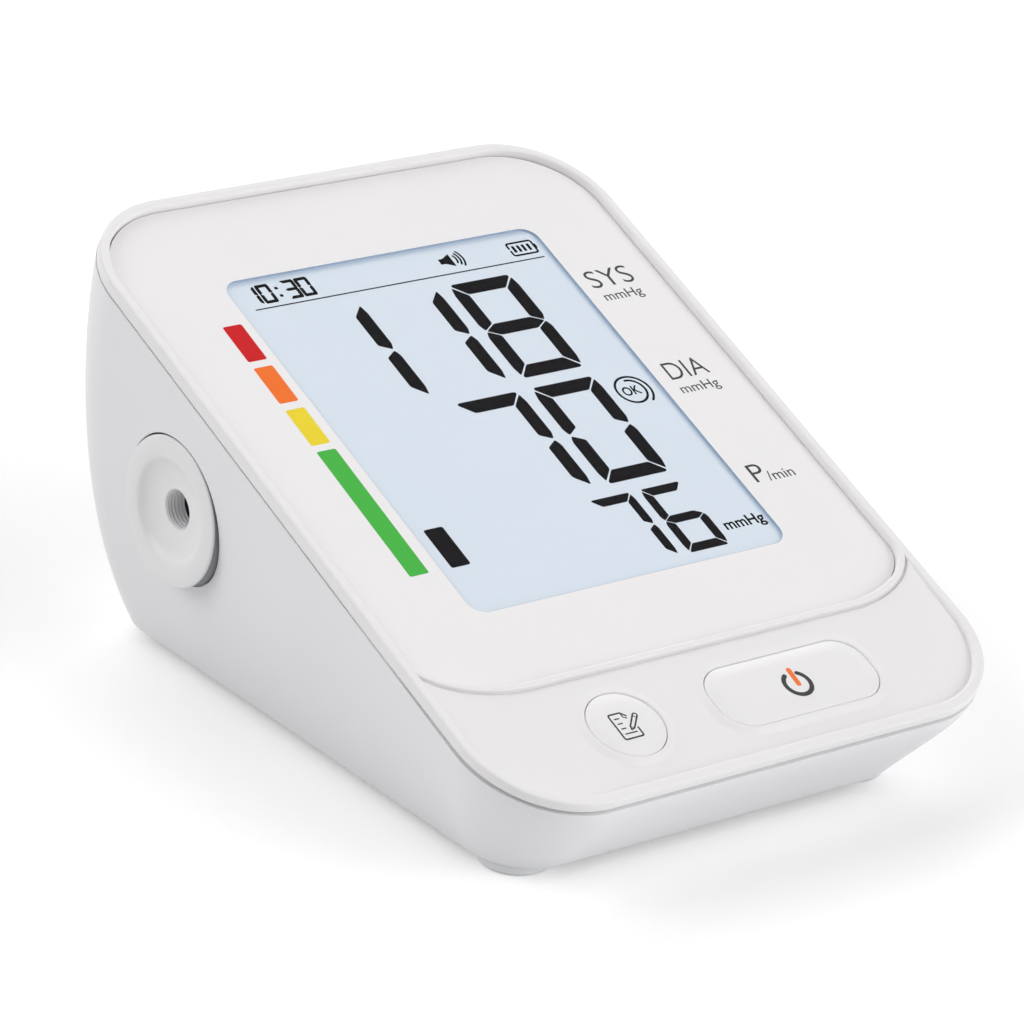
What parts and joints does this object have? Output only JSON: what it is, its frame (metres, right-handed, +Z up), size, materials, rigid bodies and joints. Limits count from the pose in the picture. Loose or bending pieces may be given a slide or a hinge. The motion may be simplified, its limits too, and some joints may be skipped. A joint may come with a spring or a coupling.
{
  "type": "blood pressure monitor",
  "caption": "Desk-top blood pressure monitor: wedge case with a sloping display face, round and long push buttons, air socket on the left wall, speaker and battery bay below.",
  "frame": {"origin": "middle of the underside of the whole object's box, on the plane it stands on", "axes": "+X to the right when facing the display, +Y from the front edge to the back, +Z up"},
  "size_m": [0.1, 0.1282, 0.0703],
  "materials": {
    "case_plastic": "satin white moulded plastic",
    "face_print": "white sheet with printed labels and colour bars",
    "lens": "clear moulded lens",
    "display_glass": "pale blue display with dark segments",
    "light_guide": "clear moulded light guide",
    "tray_plastic": "moulded tray",
    "board_green": "green solder mask",
    "chip_black": "black moulded packages",
    "screw_steel": "zinc-plated steel",
    "button_plastic": "satin white moulded plastic with a printed sign",
    "plunger_plastic": "dark moulded plastic",
    "foot_rubber": "soft pale grey rubber",
    "cell_wrap": "plain dark printed sleeve",
    "contact_metal": "nickel-plated spring steel",
    "speaker_steel": "black pressed steel",
    "magnet_iron": "plated magnet cup",
    "cone_film": "clear film cone",
    "socket_plastic": "satin white moulded plastic",
    "seal_rubber": "black soft rubber",
    "air_plastic": "natural moulded plastic",
    "tube_rubber": "milky silicone",
    "motor_steel": "plated motor can",
    "crank_plastic": "natural moulded plastic"
  },
  "bodies": {
    "case": {"lower_case": "case_plastic", "upper_cover": "case_plastic", "display_panel": "face_print", "display_window": "lens", "lcd_panel": "display_glass", "lcd_backlight": "light_guide", "lcd_frame": "tray_plastic", "main_board": "board_green", "processor": "chip_black", "pressure_sensor": "air_plastic", "board_screws": "screw_steel", "key_board": "board_green", "key_board_screws": "screw_steel", "memory_switch": "chip_black", "start_switch": "chip_black", "case_screws": "screw_steel", "feet": "foot_rubber", "batteries": "cell_wrap", "contact_plates": "contact_metal", "contact_springs": "contact_metal", "speaker_frame": "speaker_steel", "speaker_magnet": "magnet_iron", "speaker_cone": "cone_film", "air_socket": "socket_plastic", "socket_seal": "seal_rubber", "socket_nut": "air_plastic", "air_block": "air_plastic", "air_tubes": "tube_rubber", "pump_motor": "motor_steel", "pump_head": "air_plastic", "valve_body": "speaker_steel"},
    "memory_button": {"memory_button": "button_plastic", "memory_plunger": "plunger_plastic"},
    "start_button": {"start_button": "button_plastic", "start_plunger": "plunger_plastic"},
    "battery_cover": {"battery_cover": "case_plastic"},
    "pump_crank": {"pump_crank": "crank_plastic"},
    "valve_plunger": {"valve_plunger": "motor_steel"}
  },
  "joints": [
    {"name": "memory_button_press", "type": "slide", "parent": "case", "child": "memory_button", "axis": [0, 0.3746, -0.9272], "range_m": [0, 0.0005], "stiffness_N_per_m": 2000},
    {"name": "start_button_press", "type": "slide", "parent": "case", "child": "start_button", "axis": [0, 0.3746, -0.9272], "range_m": [0, 0.0005], "stiffness_N_per_m": 2000},
    {"name": "battery_cover_hinge", "type": "hinge", "parent": "case", "child": "battery_cover", "pos_m": [0, 0.04174, 0.00265], "axis": [1, 0, 0], "range_deg": [0, 100]},
    {"name": "pump_crank_turn", "type": "hinge", "parent": "case", "child": "pump_crank", "pos_m": [0, 0.04851, 0.0342], "axis": [1, 0, 0], "continuous": true},
    {"name": "valve_plunger_slide", "type": "slide", "parent": "case", "child": "valve_plunger", "axis": [-1, 0, 0], "range_m": [0, 0.0015], "stiffness_N_per_m": 200}
  ]
}
